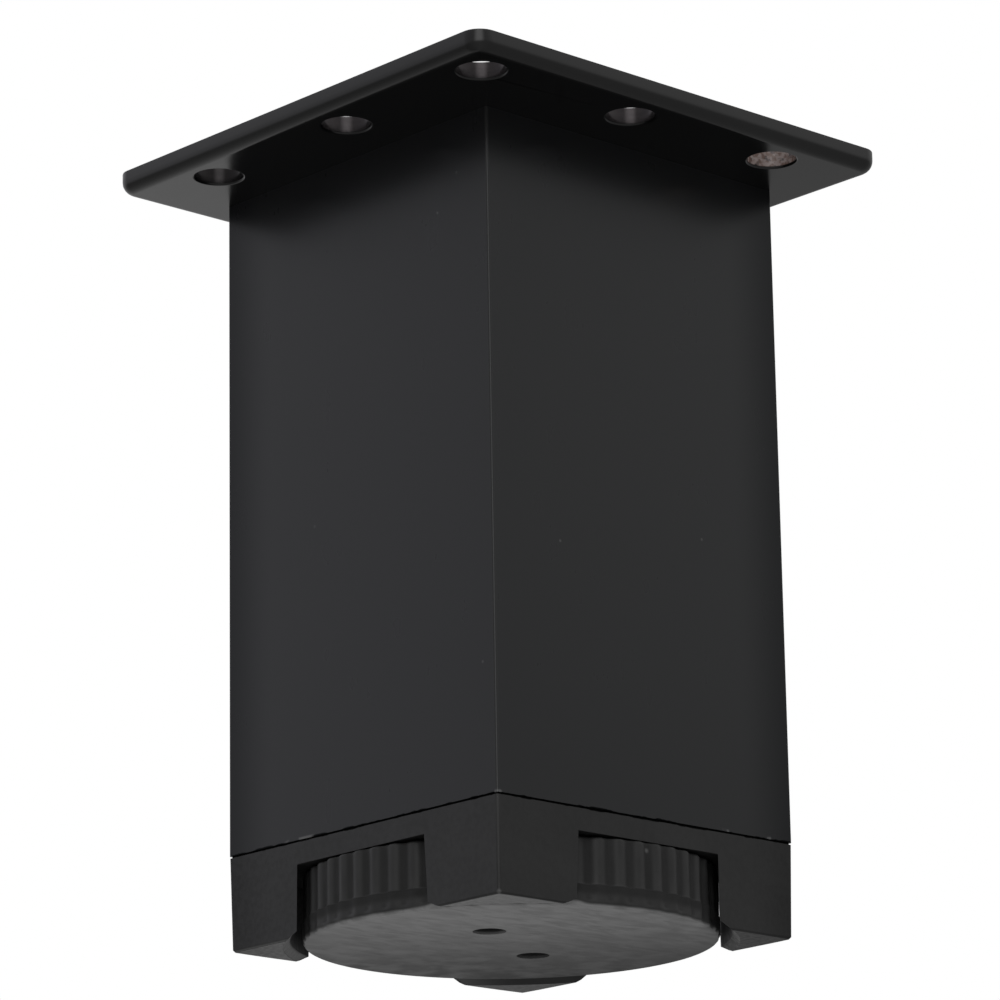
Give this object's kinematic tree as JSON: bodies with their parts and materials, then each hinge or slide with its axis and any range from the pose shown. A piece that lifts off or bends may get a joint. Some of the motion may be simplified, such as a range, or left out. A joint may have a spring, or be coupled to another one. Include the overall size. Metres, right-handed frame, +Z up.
{
  "type": "adjustable cabinet leg",
  "caption": "Square black furniture leg with an offset screw plate on top and a fluted levelling wheel set between the corner feet of its moulded end cap.",
  "frame": {"origin": "on the axis of the tube and levelling screw, level with the underside of the four corner feet", "axes": "+Z up along the tube; the plate's wide overhangs, with the fixing holes, lie to +X and -Y"},
  "size_m": [0.07, 0.07, 0.1012],
  "materials": {
    "plate_paint": "smooth semi-gloss black paint on pressed steel",
    "black_screw_steel": "black oxide steel",
    "black_anodised_tube": "satin black anodised extrusion",
    "cap_plastic": "matte black moulded plastic",
    "zinc_steel": "bright zinc plated steel",
    "spring_steel": "dark oiled spring steel",
    "wheel_plastic": "satin black moulded plastic with turned marks on its sole"
  },
  "bodies": {
    "leg": {"mounting_plate": "plate_paint", "plate_screws": "black_screw_steel", "leg_tube": "black_anodised_tube", "end_cap": "cap_plastic", "adjuster_nut": "zinc_steel"},
    "stop": {"stop_ring": "spring_steel"},
    "adjuster": {"adjuster_wheel": "wheel_plastic", "adjuster_bolt": "zinc_steel"}
  },
  "joints": [
    {"name": "foot_extend", "type": "slide", "parent": "leg", "child": "stop", "axis": [0, 0, -1], "range_m": [0, 0.015]},
    {"name": "wheel_turn", "type": "hinge", "parent": "stop", "child": "adjuster", "pos_m": [0, 0, 0], "axis": [0, 0, -1], "range_deg": [0, 3600]}
  ],
  "couplings": [
    {"joint": "foot_extend", "follows": "wheel_turn", "m_per_rad": 0.00023873}
  ]
}
